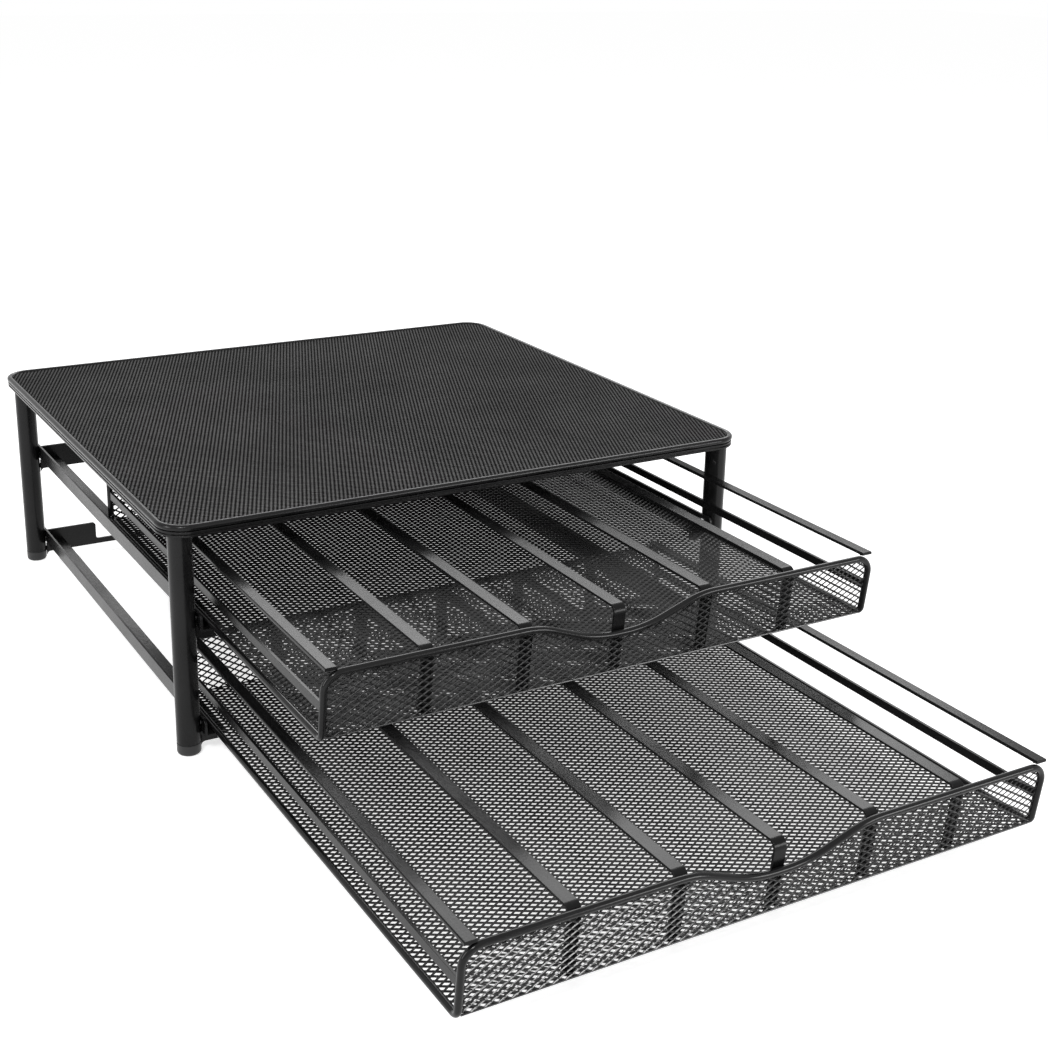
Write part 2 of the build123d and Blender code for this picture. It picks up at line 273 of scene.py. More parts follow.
# ---------------------------------------------------------------- finishes
@dataclass(frozen=True)
class PowderCoat:
    """Baked powder paint on steel: a fine orange peel, cloudy gloss, thinner and paler on edges."""

    name: str
    colour: Colour = (0.004, 0.004, 0.0042)
    faded: Colour = (0.009, 0.009, 0.0092)
    worn: Colour = (0.045, 0.045, 0.046)
    roughness: float = 0.22
    roughness_spread: float = 0.14
    specular: float = 0.2
    peel_per_metre: float = 950.0
    peel_depth: float = 0.035 * MM
    edge_reach: float = 0.35 * MM
    edge_gain: float = 2.2
    edge_share: float = 0.6
    rubbed: float = 0.0
    cloud_per_metre: float = 42.0
    specks_per_metre: float = 3400.0
    speck_height: float = 0.25
    speck_roughness: float = 0.08
    rub_scale: Colour = (900.0, 9.0, 30.0)
    rub_polish: float = 0.12

    def material(self) -> bpy.types.Material:
        """Builds the node material.

        Returns:
            The material.
        """
        material, graph = new_material(self.name)
        point = graph.place()
        cloud = graph.cloud(point, self.cloud_per_metre, 3.0)
        peel = graph.cloud(point, self.peel_per_metre)
        specks = graph.cloud(point, self.specks_per_metre, 1.0)
        colour = graph.blend(cloud.above(0.3, 0.75), self.colour, self.faded)
        relief = {"Distance": self.peel_depth, "Height": peel + specks * self.speck_height}
        if self.edge_reach:
            relief["Normal"] = graph.soft_edges(self.edge_reach)
            edge = graph.edge_mask(relief["Normal"], self.edge_gain)
            colour = graph.blend(edge * self.edge_share * specks.above(0.25, 0.7), colour, self.worn)
        rough = self.roughness + (cloud - 0.5) * self.roughness_spread
        rough = rough + (specks - 0.5) * self.speck_roughness
        if self.rubbed:
            streaks = graph.cloud(graph.stretched(point, self.rub_scale), 1.0, 3.0)
            mask = streaks.above(0.52, 0.72) * self.upward(graph) * self.rubbed
            colour = graph.blend(mask, colour, self.worn)
            rough = rough - mask * self.rub_polish
        bump = graph.node("ShaderNodeBump", {}, relief)
        graph.surface({"Base Color": colour, "Roughness": rough.limited(), "Normal": bump,
                       "Specular IOR Level": self.specular})
        return material

    def upward(self, graph: Graph) -> Value:
        """1 where the surface faces up, such as a rail's ledge."""
        facing = graph.node("ShaderNodeNewGeometry", {}, {}, "Normal")
        return graph.node("ShaderNodeSeparateXYZ", {}, {"Vector": facing}, "Z").above(0.7, 0.95)


@dataclass(frozen=True)
class EmbossedCoat:
    """The platform's sheet: paint over a fine embossed weave, with a painted highlight and a gloss coat
    on its crests.
    """

    name: str
    colour: Colour = (0.003, 0.003, 0.0031)
    # Paler colour painted on the weave's crests: a painted highlight, not a colour of the paint.
    painted_crest_highlight: Colour = (0.06, 0.059, 0.059)
    pitch: float = 3.3 * MM
    skew: float = 0.42
    depth: float = 0.5 * MM
    roughness: float = 0.38
    specular: float = 0.0
    gloss_share: float = 0.5
    gloss_roughness: float = 0.26
    gloss_ior: float = 1.3
    drift_per_metre: float = 260.0
    drift_turn: float = 2.6
    grain_per_metre: float = 2100.0
    grain_share: float = 0.35
    cloud_per_metre: float = 17.0
    cloud_spread: float = 0.16
    grain_spread: float = 0.15

    def material(self) -> bpy.types.Material:
        """Builds the node material.

        Returns:
            The material.
        """
        material, graph = new_material(self.name)
        point = graph.place()
        drift = graph.cloud(point, self.drift_per_metre)
        across = graph.node("ShaderNodeSeparateXYZ", {}, {"Vector": point}, "X")
        along = graph.node("ShaderNodeSeparateXYZ", {}, {"Vector": point}, "Y")
        turn = math.tau / self.pitch
        warp = (drift - 0.5) * self.drift_turn
        one = ((across + along * self.skew) * turn + warp).sine()
        two = ((along - across * self.skew) * turn + warp).sine()
        weave = (one * two * 0.5 + 0.5).limited()
        grain = graph.cloud(point, self.grain_per_metre)
        cloud = graph.cloud(point, self.cloud_per_metre, 3.0)
        # Painted highlight: the crests, in patches, get a much paler colour that stands in for light
        # caught by the relief; the gloss coat on them is real.
        crests = (weave * 0.75 + grain * self.grain_share).above(0.46, 0.82)
        colour = graph.blend(crests * cloud.above(0.1, 0.65), self.colour, self.painted_crest_highlight)
        rough = self.roughness + (cloud - 0.5) * self.cloud_spread + (grain - 0.5) * self.grain_spread
        bump = graph.node("ShaderNodeBump", {},
                          {"Distance": self.depth, "Height": weave + grain * self.grain_share})
        graph.surface({"Base Color": colour, "Roughness": rough.limited(), "Normal": bump,
                       "Specular IOR Level": self.specular, "Coat Weight": crests * self.gloss_share,
                       "Coat Roughness": self.gloss_roughness, "Coat IOR": self.gloss_ior})
        return material


@dataclass(frozen=True)
class MouldedPlastic:
    """Black moulded plastic with a spark-eroded grain, scuffed where it stands on the counter."""

    name: str
    colour: Colour = (0.009, 0.009, 0.0095)
    scuffed: Colour = (0.045, 0.045, 0.045)
    roughness: float = 0.42
    grain_depth: float = 0.03 * MM
    scuff_height: float = 1.4 * MM
    scuff_roughness: float = 0.25
    grain_per_metre: float = 2600.0
    grain_spread: float = 0.14
    cloud_per_metre: float = 120.0
    specular: float = 0.45

    def material(self) -> bpy.types.Material:
        """Builds the node material.

        Returns:
            The material.
        """
        material, graph = new_material(self.name)
        point = graph.place()
        grain = graph.cloud(point, self.grain_per_metre)
        cloud = graph.cloud(point, self.cloud_per_metre, 3.0)
        height = graph.node("ShaderNodeSeparateXYZ", {}, {"Vector": point}, "Z")
        scuff = (1.0 - height / self.scuff_height).limited() * cloud.above(0.35, 0.65)
        colour = graph.blend(scuff, self.colour, self.scuffed)
        rough = self.roughness + scuff * self.scuff_roughness + (grain - 0.5) * self.grain_spread
        bump = graph.node("ShaderNodeBump", {}, {"Distance": self.grain_depth, "Height": grain})
        graph.surface({"Base Color": colour, "Roughness": rough.limited(), "Normal": bump,
                       "Specular IOR Level": self.specular})
        return material


@dataclass(frozen=True)
class BareSteel:
    """Plated screw steel, turned, with fine scratches and dull spots."""

    name: str
    colour: Colour = (0.44, 0.44, 0.45)
    dull: Colour = (0.2, 0.2, 0.205)
    roughness: float = 0.28
    scratch_scale: Colour = (400.0, 7000.0, 1500.0)
    scratch_depth: float = 0.012 * MM
    scratch_spread: float = 0.3
    cloud_per_metre: float = 700.0

    def material(self) -> bpy.types.Material:
        """Builds the node material.

        Returns:
            The material.
        """
        material, graph = new_material(self.name)
        point = graph.place()
        cloud = graph.cloud(point, self.cloud_per_metre, 3.0)
        scratch = graph.cloud(graph.stretched(point, self.scratch_scale), 1.0)
        colour = graph.blend(cloud.above(0.4, 0.7), self.colour, self.dull)
        rough = self.roughness + (scratch - 0.5) * self.scratch_spread
        bump = graph.node("ShaderNodeBump", {}, {"Distance": self.scratch_depth, "Height": scratch})
        graph.surface({"Base Color": colour, "Metallic": 1.0, "Roughness": rough.limited(),
                       "Normal": bump})
        return material


@dataclass(frozen=True)
class StudioPaper:
    """Pale paper that the picture stands on: it keeps a soft shadow and goes white around it."""

    name: str
    colour: Colour = (0.86, 0.86, 0.86)
    lift: float = 0.68
    roughness: float = 0.88
    grain_per_metre: float = 90.0
    grain_spread: float = 0.1

    def material(self) -> bpy.types.Material:
        """Builds the node material.

        Returns:
            The material.
        """
        material, graph = new_material(self.name)
        grain = graph.cloud(graph.place(), self.grain_per_metre, 3.0)
        rough = self.roughness + (grain - 0.5) * self.grain_spread
        glow = graph.blend(seen_or_mirrored(graph), (0.0, 0.0, 0.0), (self.lift,) * 3)
        graph.surface({"Base Color": self.colour, "Roughness": rough, "Specular IOR Level": 0.0,
                       "Emission Color": glow, "Emission Strength": 1.0})
        return material


def seen_or_mirrored(graph: Graph) -> Value:
    """Tells what is looked at from light that falls.

    Args:
        graph: The material's or the world's graph.

    Returns:
        1 for what the camera sees itself, in a gloss or through glass, and 0 for other light.
    """
    rays = [graph.node("ShaderNodeLightPath", {}, {}, name)
            for name in ("Is Camera Ray", "Is Glossy Ray", "Is Transmission Ray")]
    return (rays[0] + rays[1] + rays[2]).limited()


class Wardrobe:
    """The finish that belongs to each slot of the record."""

    def __init__(self) -> None:
        """Makes every material once."""
        self.materials = {
            Slot.FRAME: PowderCoat("frame_powder_coat").material(),
            Slot.PANEL: EmbossedCoat("embossed_platform_coat").material(),
            Slot.WIRE: PowderCoat("wire_gloss_coat", roughness=0.13, roughness_spread=0.06,
                                  specular=0.2, peel_depth=0.016 * MM, edge_reach=0.0).material(),
            Slot.MESH: PowderCoat("mesh_coat", colour=(0.007, 0.007, 0.0072),
                                  faded=(0.016, 0.016, 0.0165), roughness=0.26, specular=0.45,
                                  peel_depth=0.012 * MM, edge_reach=0.0).material(),
            Slot.STRIP: PowderCoat("strip_coat", roughness=0.2, specular=0.13, rubbed=0.12).material(),
            Slot.FOOT: MouldedPlastic("moulded_foot").material(),
            Slot.SCREW: BareSteel("plated_screw").material(),
        }
        self.rail = PowderCoat("rail_coat", roughness=0.26, specular=0.22, rubbed=0.6).material()

    def dress(self, thing: bpy.types.Object, slot: Slot) -> None:
        """Puts a slot's finish on an object."""
        thing.data.materials.clear()
        thing.data.materials.append(self.materials[slot])

    def dress_node(self, name: str) -> None:
        """Puts the finish of its own slot on a CAD node, and a rubbed one on a rail.

        Args:
            name: The node's name.
        """
        node = FRAME["nodes"][name]
        slot = Slot(node.data.materials[0].name.split(".")[0])
        self.dress(node, slot)
        if name.startswith("rail_"):
            node.data.materials[0] = self.rail
        log.info("node %s wears %s", name, node.data.materials[0].name)


# ---------------------------------------------------------------- shape helpers
def new_piece(name: str, shape: bmesh.types.BMesh, body: str, slot: Slot, wardrobe: Wardrobe,
              stands_for: Sequence[str] = ()) -> bpy.types.Object:
    """Turns a shape into a finished piece that rides on a body.

    Args:
        name: The piece's name.
        shape: Its faces, in the row frame; it is freed here.
        body: The CAD body it rides on.
        slot: The record's slot that it takes its finish from.
        wardrobe: The finishes.
        stands_for: CAD nodes that it replaces.

    Returns:
        The piece.
    """
    bmesh.ops.recalc_face_normals(shape, faces=shape.faces)
    mesh = bpy.data.meshes.new(name)
    shape.to_mesh(mesh)
    shape.free()
    mesh.polygons.foreach_set("use_smooth", [True] * len(mesh.polygons))
    mesh.set_sharp_from_angle(angle=math.radians(38))
    piece = bpy.data.objects.new(name, mesh)
    bpy.context.scene.collection.objects.link(piece)
    wardrobe.dress(piece, slot)
    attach(piece, body)
    if stands_for:
        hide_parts(*stands_for)
    return piece


def revolve(shape: bmesh.types.BMesh, profile: Sequence[tuple[float, float]], place: Matrix,
            steps: int = 40) -> None:
    """Adds a turned form about the local Z axis.

    Args:
        shape: The shape that it is added to.
        profile: Radius and height, from one end on the axis to the other.
        place: Where it goes.
        steps: Corners round the axis.
    """
    rings: list[list[bmesh.types.BMVert]] = []
    for radius, height in profile:
        count = 1 if radius == 0 else steps
        rings.append([shape.verts.new(place @ Vector((radius * math.cos(math.tau * i / steps),
                                                      radius * math.sin(math.tau * i / steps), height)))
                      for i in range(count)])
    for low, high in zip(rings, rings[1:]):
        for i in range(steps):
            corners = [low[i % len(low)], low[(i + 1) % len(low)],
                       high[(i + 1) % len(high)], high[i % len(high)]]
            shape.faces.new(list(dict.fromkeys(corners)))


def round_corner(centre: tuple[float, float], radius: float, start: float, end: float,
                 steps: int = 6) -> list[tuple[float, float]]:
    """Points on an arc of a profile, its angles in degrees."""
    angles = [math.radians(start + (end - start) * i / steps) for i in range(steps + 1)]
    return [(centre[0] + radius * math.cos(a), centre[1] + radius * math.sin(a)) for a in angles]


def rounded_path(corners: Sequence[Vector], radii: Sequence[float], step: float = 4.0) -> list[Vector]:
    """A line of straight runs with its inner corners rounded.

    Args:
        corners: The runs' ends, in a plane.
        radii: The radius at each inner corner.
        step: Degrees between points on an arc.

    Returns:
        The points of the rounded line.
    """
    path = [corners[0]]
    for before, corner, after, radius in zip(corners, corners[1:], corners[2:], radii):
        back = (before - corner).normalized()
        ahead = (after - corner).normalized()
        half = back.angle(ahead) / 2
        centre = corner + (back + ahead).normalized() * radius / math.sin(half)
        first = corner + back * radius / math.tan(half) - centre
        last = corner + ahead * radius / math.tan(half) - centre
        sweep = first.angle_signed(last)
        count = max(2, round(abs(math.degrees(sweep)) / step))
        for i in range(count + 1):
            turned = first.copy()
            turned.rotate(Matrix.Rotation(-sweep * i / count, 2))
            path.append(centre + turned)
    return [*path, corners[-1]]


def drawn_in(path: Sequence[Vector], inset: float) -> list[Vector]:
    """The same line moved to its right, square to its runs.

    Args:
        path: The line's points.
        inset: How far it moves.

    Returns:
        The moved points.
    """
    moved = []
    for i, point in enumerate(path):
        before = path[max(i - 1, 0)]
        after = path[min(i + 1, len(path) - 1)]
        ahead = (after - before).normalized()
        moved.append(point + Vector((ahead.y, -ahead.x)) * inset)
    return moved


def add_bead(shape: bmesh.types.BMesh, spot: Vector, size: Vector, number: int) -> None:
    """Adds one uneven weld bead.

    Args:
        shape: The shape that it is added to.
        spot: Its middle.
        size: Its three half sizes.
        number: Makes its unevenness its own.
    """
    for vert in bmesh.ops.create_icosphere(shape, subdivisions=3, radius=1.0)["verts"]:
        lump = 1 + 0.16 * noise.noise(vert.co * 1.7 + Vector((number * 3.1, 0, 0)))
        vert.co = spot + Vector(a * b * lump for a, b in zip(vert.co, size))


# ---------------------------------------------------------------- expanded steel sheet
@dataclass
class ExpandedSheet:
    """Steel sheet slit and stretched into diamonds, inside an outline in a plane of its own."""

    outline: list[Vector]
    to_row: Callable[[Vector], Vector]
    cell_long: float = 6.2 * MM
    cell_short: float = 3.7 * MM
    strand_width: float = 0.92 * MM
    strand_thickness: float = 0.45 * MM
    fold_width: float = 0.95 * MM
    twist: float = math.radians(30)

    def build(self, shape: bmesh.types.BMesh) -> None:
        """Adds every strand of both directions.

        Args:
            shape: The shape that they are added to.
        """
        heights = [p.y / self.cell_short for p in self.outline]
        widths = [p.x / self.cell_long for p in self.outline]
        for lean in (1, -1):
            reach = [h - lean * w for h, w in zip(heights, widths)]
            for count in range(math.floor(min(reach)), math.ceil(max(reach)) + 1):
                start = Vector((0.0, count * self.cell_short))
                ahead = Vector((self.cell_long, lean * self.cell_short)).normalized()
                for low, high in self._inside(start, ahead):
                    self._strand(shape, start + ahead * low, start + ahead * high, ahead)

    def add_fold(self, shape: bmesh.types.BMesh, height: float) -> None:
        """Adds the row of joined strands that a fold runs along, across the sheet.

        Args:
            shape: The shape that they are added to.
            height: Where the fold lies in the sheet's plane.
        """
        for low, high in self._inside(Vector((0.0, height)), Vector((1.0, 0.0))):
            middle = self.to_row(Vector(((low + high) / 2, height, 0)))
            along = self.to_row(Vector((high, height, 0))) - middle
            turn = along.to_track_quat("Z", "Y").to_matrix().to_4x4()
            place = Matrix.Translation(middle - along) @ turn
            edge = self.fold_width / 2
            profile = [(0.0, 0.0), (edge, 0.0), (edge, along.length * 2), (0.0, along.length * 2)]
            revolve(shape, profile, place, 8)

    def _inside(self, start: Vector, ahead: Vector) -> list[tuple[float, float]]:
        """The stretches of a line that lie inside the outline.

        Args:
            start: A point on the line.
            ahead: The line's direction, of length 1.

        Returns:
            Where each stretch starts and ends, measured from start.
        """
        across = Vector((-ahead.y, ahead.x))
        found = []
        for one, two in zip(self.outline, [*self.outline[1:], self.outline[0]]):
            near, far = (one - start).dot(across), (two - start).dot(across)
            if (near > 0) != (far > 0):
                share = near / (near - far)
                found.append((one + (two - one) * share - start).dot(ahead))
        found.sort()
        return [(a, b) for a, b in zip(found[::2], found[1::2]) if b - a > self.strand_width]

    def _strand(self, shape: bmesh.types.BMesh, one: Vector, two: Vector, ahead: Vector) -> None:
        """Adds one flat strand, tilted as the stretching leaves it.

        Args:
            shape: The shape that it is added to.
            one: Its start in the sheet's plane.
            two: Its end.
            ahead: Its direction, of length 1.
        """
        up = Vector((-ahead.y, ahead.x))
        if up.y < 0:
            up = -up
        origin = self.to_row(Vector((0, 0, 0)))
        out = self.to_row(Vector((0, 0, 1))) - origin
        side = self.to_row(Vector((up.x, up.y, 0))) - origin
        wide = (side * math.cos(self.twist) + out * math.sin(self.twist)) * self.strand_width / 2
        thick = (out * math.cos(self.twist) - side * math.sin(self.twist)) * self.strand_thickness / 2
        ends = []
        for point in (one, two):
            middle = self.to_row(Vector((point.x, point.y, 0)))
            ends.append([shape.verts.new(middle + wide * a + thick * b)
                         for a, b in ((-1, -1), (1, -1), (1, 1), (-1, 1))])
        shape.faces.new(ends[0])
        shape.faces.new(ends[1])
        for i in range(4):
            shape.faces.new((ends[0][i], ends[0][i - 1], ends[1][i - 1], ends[1][i]))


# ---------------------------------------------------------------- sub-assemblies
@dataclass
class Drawer:
    """One pod drawer: wire hoops, expanded steel walls and floor, flat bars and dividers."""

    tier: Tier
    wardrobe: Wardrobe
    lean_run: float = 4.0 * MM
    hoop_corner: float = 9.0 * MM
    scoop_depth: float = 12.5 * MM
    scoop_top_half: float = 46.0 * MM
    scoop_floor_half: float = 14.0 * MM
    scoop_shoulder: float = 45.0 * MM
    scoop_floor: float = 60.0 * MM
    bite: float = 0.3 * MM
    bead: float = 1.15 * MM
    pieces: list[bpy.types.Object] = field(default_factory=list)

    def __post_init__(self) -> None:
        """Reads the drawer's own lines from its hoops."""
        low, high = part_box(self.node("front_hoop"))
        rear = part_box(self.node("rear_hoop"))[1]
        side_low, side_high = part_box(self.node("side_wire_left"))
        self.wire = (side_high.z - side_low.z) / 2
        self.half = high.x - self.wire
        self.fold = Vector((0.0, low.y + self.wire + self.lean_run, low.z + self.wire))
        self.rise = high.z - self.wire - self.fold.z
        self.rear_y = rear.y - self.wire
        self.slope = math.hypot(self.lean_run, self.rise)

    @property
    def body(self) -> str:
        """The CAD body that the drawer is."""
        return f"{self.tier.value}_drawer"

    def node(self, part: str) -> str:
        """A CAD node's name in this drawer."""
        return f"{self.tier.value}_{part}"

    def rim_corners(self) -> list[Vector]:
        """The rim wire's corners in the front wall's plane.

        Returns:
            The corners, from the left foot to the right.
        """
        left = [Vector((-self.half, -self.wire)), Vector((-self.half, self.slope)),
                Vector((-self.scoop_top_half, self.slope)),
                Vector((-self.scoop_floor_half, self.slope - self.scoop_depth))]
        return left + [Vector((-p.x, p.y)) for p in reversed(left)]

    def add_sheet(self, part: str, outline: list[Vector], to_row: Callable[[Vector], Vector],
                  folds: Sequence[float] = ()) -> None:
        """Builds one expanded sheet in place of its CAD node.

        Args:
            part: The node's name without the tier.
            outline: The sheet's outline in its plane.
            to_row: Takes a point of that plane, and its height off the plane, to the row frame.
            folds: Heights in the plane at which a fold runs across it.
        """
        shape = bmesh.new()
        sheet = ExpandedSheet(outline, to_row)
        sheet.build(shape)
        for height in folds:
            sheet.add_fold(shape, height)
        name = f"{self.node(part)}_diamonds"
        self.pieces.append(new_piece(name, shape, self.body, Slot.MESH, self.wardrobe,
                                     [self.node(part)]))

    def build_front(self) -> None:
        """The front wall's sheet, under the scooped rim and down to its fold."""
        arcs = [self.hoop_corner, self.scoop_shoulder, self.scoop_floor]
        path = rounded_path(self.rim_corners(), arcs + arcs[::-1])
        outline = drawn_in(path, self.wire - self.bite)
        outline[0].y = outline[-1].y = 0.0
        up = Vector((0.0, -self.lean_run, self.rise)).normalized()
        out = Vector((0.0, -up.z, up.y))
        self.add_sheet("mesh_front", outline,
                       lambda p: self.fold + Vector((p.x, 0, 0)) + up * p.y + out * p.z)

    def build_floor(self) -> None:
        """The floor's sheet, from the front fold to the rear one."""
        half, depth = self.half - self.wire + self.bite, self.rear_y - self.fold.y
        outline = [Vector((-half, 0)), Vector((half, 0)), Vector((half, depth)), Vector((-half, depth))]
        self.add_sheet("mesh_floor", outline, lambda p: self.fold + p, (0.02 * MM, depth - 0.02 * MM))

    def build_rear(self) -> None:
        """The rear wall's sheet, upright inside the rear hoop."""
        corners = [Vector((-self.half, -self.wire)), Vector((-self.half, self.rise)),
                   Vector((self.half, self.rise)), Vector((self.half, -self.wire))]
        outline = drawn_in(rounded_path(corners, [self.hoop_corner] * 2), self.wire - self.bite)
        outline[0].y = outline[-1].y = 0.0
        foot = Vector((0.0, self.rear_y, self.fold.z))
        self.add_sheet("mesh_rear", outline, lambda p: foot + Vector((p.x, -p.z, p.y)))

    def weld_points(self) -> list[tuple[Vector, Vector]]:
        """Where the flat bars are welded to the hoops.

        Returns:
            Each bead's middle and its three half sizes.
        """
        spots = []
        for side in Side:
            top_low, top_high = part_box(self.node(f"top_bar_{side.value}"))
            mid_low, mid_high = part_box(self.node(f"mid_bar_{side.value}"))
            top_x = (top_low.x + top_high.x) / 2
            mid_x = (mid_low.x + mid_high.x) / 2 - side.outward * self.bead * 0.55
            mid_z = (mid_low.z + mid_high.z) / 2
            for y, inward in ((self.fold.y - self.lean_run, 1), (self.rear_y, -1)):
                spot = Vector((top_x, y + inward * self.wire * 0.95, top_low.z - self.bead * 0.35))
                spots.append((spot, Vector((2.3, 0.9, 0.6)) * self.bead))
            front_mid = mid_low.y + self.bead * 0.9
            for y in (front_mid, mid_high.y - self.bead * 0.9):
                spots.append((Vector((mid_x, y, mid_z)), Vector((0.55, 1.0, 1.7)) * self.bead))
        return spots

    def build_welds(self) -> None:
        """Small uneven beads at the joints, under the paint."""
        shape = bmesh.new()
        for number, (spot, size) in enumerate(self.weld_points()):
            add_bead(shape, spot, size, number)
        self.pieces.append(new_piece(f"{self.tier.value}_weld_beads", shape, self.body, Slot.WIRE,
                                     self.wardrobe))

    def build(self) -> None:
        """Builds and dresses the whole drawer."""
        self.build_front()
        self.build_floor()
        self.build_rear()
        self.build_welds()


@dataclass
class Stand:
    """The platform on four tube legs, with its plastic feet, screws and leg pins."""

    wardrobe: Wardrobe
    foot_round: float = 1.9 * MM
    foot_seam: float = 0.35 * MM
    sole_depth: float = 0.5 * MM
    head_rise: float = 1.15 * MM
    head_edge: float = 0.35 * MM
    recess_reach: float = 1.35 * MM
    recess_width: float = 0.55 * MM
    recess_depth: float = 0.8 * MM
    pin_drop: float = 13.0 * MM
    pin_radius: float = 1.25 * MM
    pin_rise: float = 0.35 * MM
    bead: float = 1.0 * MM
    pieces: list[bpy.types.Object] = field(default_factory=list)

    def build_foot(self, end: End, side: Side) -> None:
        """A moulded cap: rounded bottom, hollow sole, a seam under the tube, and its stem.

        Args:
            end: Front or rear.
            side: Left or right.
        """
        node = f"foot_{end.value}_{side.value}"
        low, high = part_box(node)
        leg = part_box(f"leg_{end.value}_{side.value}")[0]
        radius = (high.x - low.x) / 2
        top = leg.z - low.z
        stem = radius * 0.78
        profile = [(0.0, self.sole_depth), (radius * 0.5, self.sole_depth), (radius * 0.56, 0.1 * MM),
                   (radius * 0.6, 0.0)]
        profile += round_corner((radius - self.foot_round, self.foot_round), self.foot_round, -90, 0, 9)
        seam = self.foot_seam
        tall = high.z - low.z
        profile += [(radius, top - 2.4 * seam), (radius - seam, top - 2 * seam),
                    (radius - seam, top - seam), (stem, top - seam), (stem, tall - seam),
                    (stem - seam, tall), (0.0, tall)]
        middle = (low + high) / 2
        shape = bmesh.new()
        revolve(shape, profile, Matrix.Translation((middle.x, middle.y, low.z)), 56)
        self.pieces.append(new_piece(f"{node}_moulded", shape, "stand", Slot.FOOT, self.wardrobe,
                                     [node]))

    def screw_shape(self) -> bpy.types.Mesh:
        """A pan head with a cross recess on a short shank, about local Z with its head up.

        Returns:
            The finished mesh, its head's underside at height 0.
        """
        low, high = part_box("screws_front_left")
        radius = (high.y - low.y) / 2
        tall = self.head_rise + self.head_edge * 0.7
        shank = radius * 0.62
        length = (high.x - low.x) - tall
        body = bmesh.new()
        profile = [(0.0, -length), (shank * 0.5, -length), (shank, -length * 0.82), (shank, 0.0),
                   (radius, 0.0), (radius, self.head_edge)]
        profile += [(radius * math.cos(a), self.head_edge + (tall - self.head_edge) * math.sin(a))
                    for a in (math.radians(d) for d in (18, 36, 54, 72))]
        revolve(body, [*profile, (0.0, tall)], Matrix.Identity(4), 36)
        bmesh.ops.recalc_face_normals(body, faces=body.faces)
        cutter = bmesh.new()
        for turn in (0, 90):
            arm = bmesh.ops.create_cube(cutter, size=2.0)["verts"]
            for vert in arm:
                narrow = 0.45 if vert.co.z < 0 else 1.0
                height = tall + math.copysign(self.recess_depth, vert.co.z)
                vert.co = Vector((vert.co.x * self.recess_reach * narrow,
                                  vert.co.y * self.recess_width / 2 * narrow, height))
                vert.co.rotate(Matrix.Rotation(math.radians(turn), 3, "Z"))
        return cut_away(body, cutter)

    def build_screws(self, end: End, side: Side) -> None:
        """The two screws that hold the rails to one leg.

        Args:
            end: Front or rear.
            side: Left or right.
        """
        node = f"screws_{end.value}_{side.value}"
        low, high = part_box(node)
        radius = (high.y - low.y) / 2
        template = self.screw_shape()
        head = self.head_rise + self.head_edge * 0.7
        seat = (high.x if side is Side.LEFT else low.x) + side.outward * head
        shape = bmesh.new()
        for number, z in enumerate((low.z + radius, high.z - radius)):
            before = len(shape.verts)
            shape.from_mesh(template)
            shape.verts.ensure_lookup_table()
            place = Matrix.Translation((seat, (low.y + high.y) / 2, z))
            turn = Matrix.Rotation(-side.outward * math.pi / 2, 4, "Y")
            spin = Matrix.Rotation(0.5 + 1.3 * number, 4, "Z")
            bmesh.ops.transform(shape, matrix=place @ turn @ spin, verts=shape.verts[before:])
        bpy.data.meshes.remove(template)
        self.pieces.append(new_piece(f"{node}_pan_head", shape, "stand", Slot.SCREW, self.wardrobe,
                                     [node]))

    def build_pin(self, end: End, side: Side) -> None:
        """The small pin that holds a tube on its plug, on the leg's inner face below the band.

        Args:
            end: Front or rear.
            side: Left or right.
        """
        low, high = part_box(f"leg_{end.value}_{side.value}")
        radius = (high.x - low.x) / 2
        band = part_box("top_panel")[0].z
        inward = Vector((-side.outward, -1.0, 0.0)).normalized()
        centre = Vector(((low.x + high.x) / 2, (low.y + high.y) / 2, band - self.pin_drop))
        spot = centre + inward * (radius - 0.25 * MM)
        place = Matrix.Translation(spot) @ inward.to_track_quat("Z", "Y").to_matrix().to_4x4()
        edge = self.pin_radius
        profile = [(0.0, 0.0), (edge, 0.0), (edge, 0.25 * MM)]
        profile += [(edge * math.cos(a), 0.25 * MM + self.pin_rise * math.sin(a))
                    for a in (math.radians(d) for d in (20, 40, 60, 75))]
        shape = bmesh.new()
        revolve(shape, [*profile, (0.0, 0.25 * MM + self.pin_rise)], place, 28)
        self.pieces.append(new_piece(f"leg_pin_{end.value}_{side.value}", shape, "stand", Slot.FRAME,
                                     self.wardrobe))

    def build_beads(self, end: End, side: Side) -> None:
        """The weld beads between one leg and the plates under its two rails.

        Args:
            end: Front or rear.
            side: Left or right.
        """
        leg_low, leg_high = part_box(f"leg_{end.value}_{side.value}")
        face_x = leg_high.x if side is Side.LEFT else leg_low.x
        shape = bmesh.new()
        for number, tier in enumerate(Tier):
            plate = f"bracket_{tier.value}_{side.value}" if end is End.FRONT else f"stop_bar_{tier.value}"
            low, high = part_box(plate)
            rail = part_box(f"rail_{tier.value}_{side.value}")[0]
            middle_y = (low.y + high.y) / 2
            for count, y in enumerate((middle_y - self.bead, middle_y + self.bead)):
                spot = Vector((face_x - side.outward * self.bead * 0.2, y, (low.z + rail.z) / 2))
                add_bead(shape, spot, Vector((0.5, 0.8, 1.8)) * self.bead, 4 * number + count)
        self.pieces.append(new_piece(f"leg_beads_{end.value}_{side.value}", shape, "stand", Slot.FRAME,
                                     self.wardrobe))

    def build(self) -> None:
        """Builds the turned and moulded details of all four legs."""
        for end in End:
            for side in Side:
                self.build_foot(end, side)
                self.build_screws(end, side)
                self.build_pin(end, side)
                self.build_beads(end, side)


